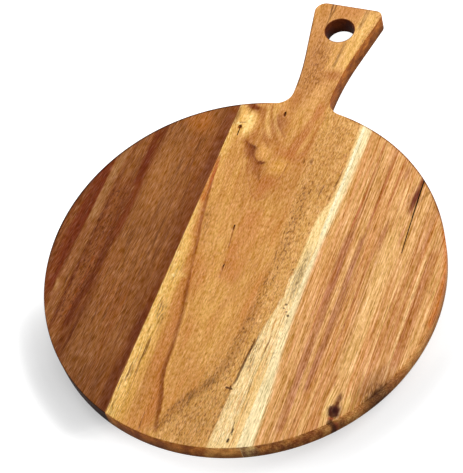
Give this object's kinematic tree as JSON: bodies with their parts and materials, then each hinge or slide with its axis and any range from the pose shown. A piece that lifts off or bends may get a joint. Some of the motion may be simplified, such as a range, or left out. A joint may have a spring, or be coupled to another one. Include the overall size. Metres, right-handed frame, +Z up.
{
  "type": "round serving board",
  "caption": "Flat round wooden serving board, edge-glued from staves, with a flared handle that has a hanging hole through its end.",
  "frame": {"origin": "centre of the round, on the underside", "axes": "+Z up out of the serving face; +Y along the grain, from the centre of the round to the end of the handle; +X to the right, seen from above with the handle pointing away"},
  "size_m": [0.305, 0.4095, 0.016],
  "materials": {
    "dark_heartwood": "oiled, dark red-brown streaked heartwood",
    "golden_heartwood": "oiled, golden flat-sawn heartwood with pale sapwood along one edge",
    "striped_heartwood": "oiled, orange-brown heartwood with straight darker stripes",
    "cured_glue": "clear brown, sanded flush"
  },
  "bodies": {
    "root": {"left_stave": "dark_heartwood", "left_glue_line": "cured_glue", "centre_stave": "golden_heartwood", "right_glue_line": "cured_glue", "right_stave": "striped_heartwood"}
  },
  "joints": []
}
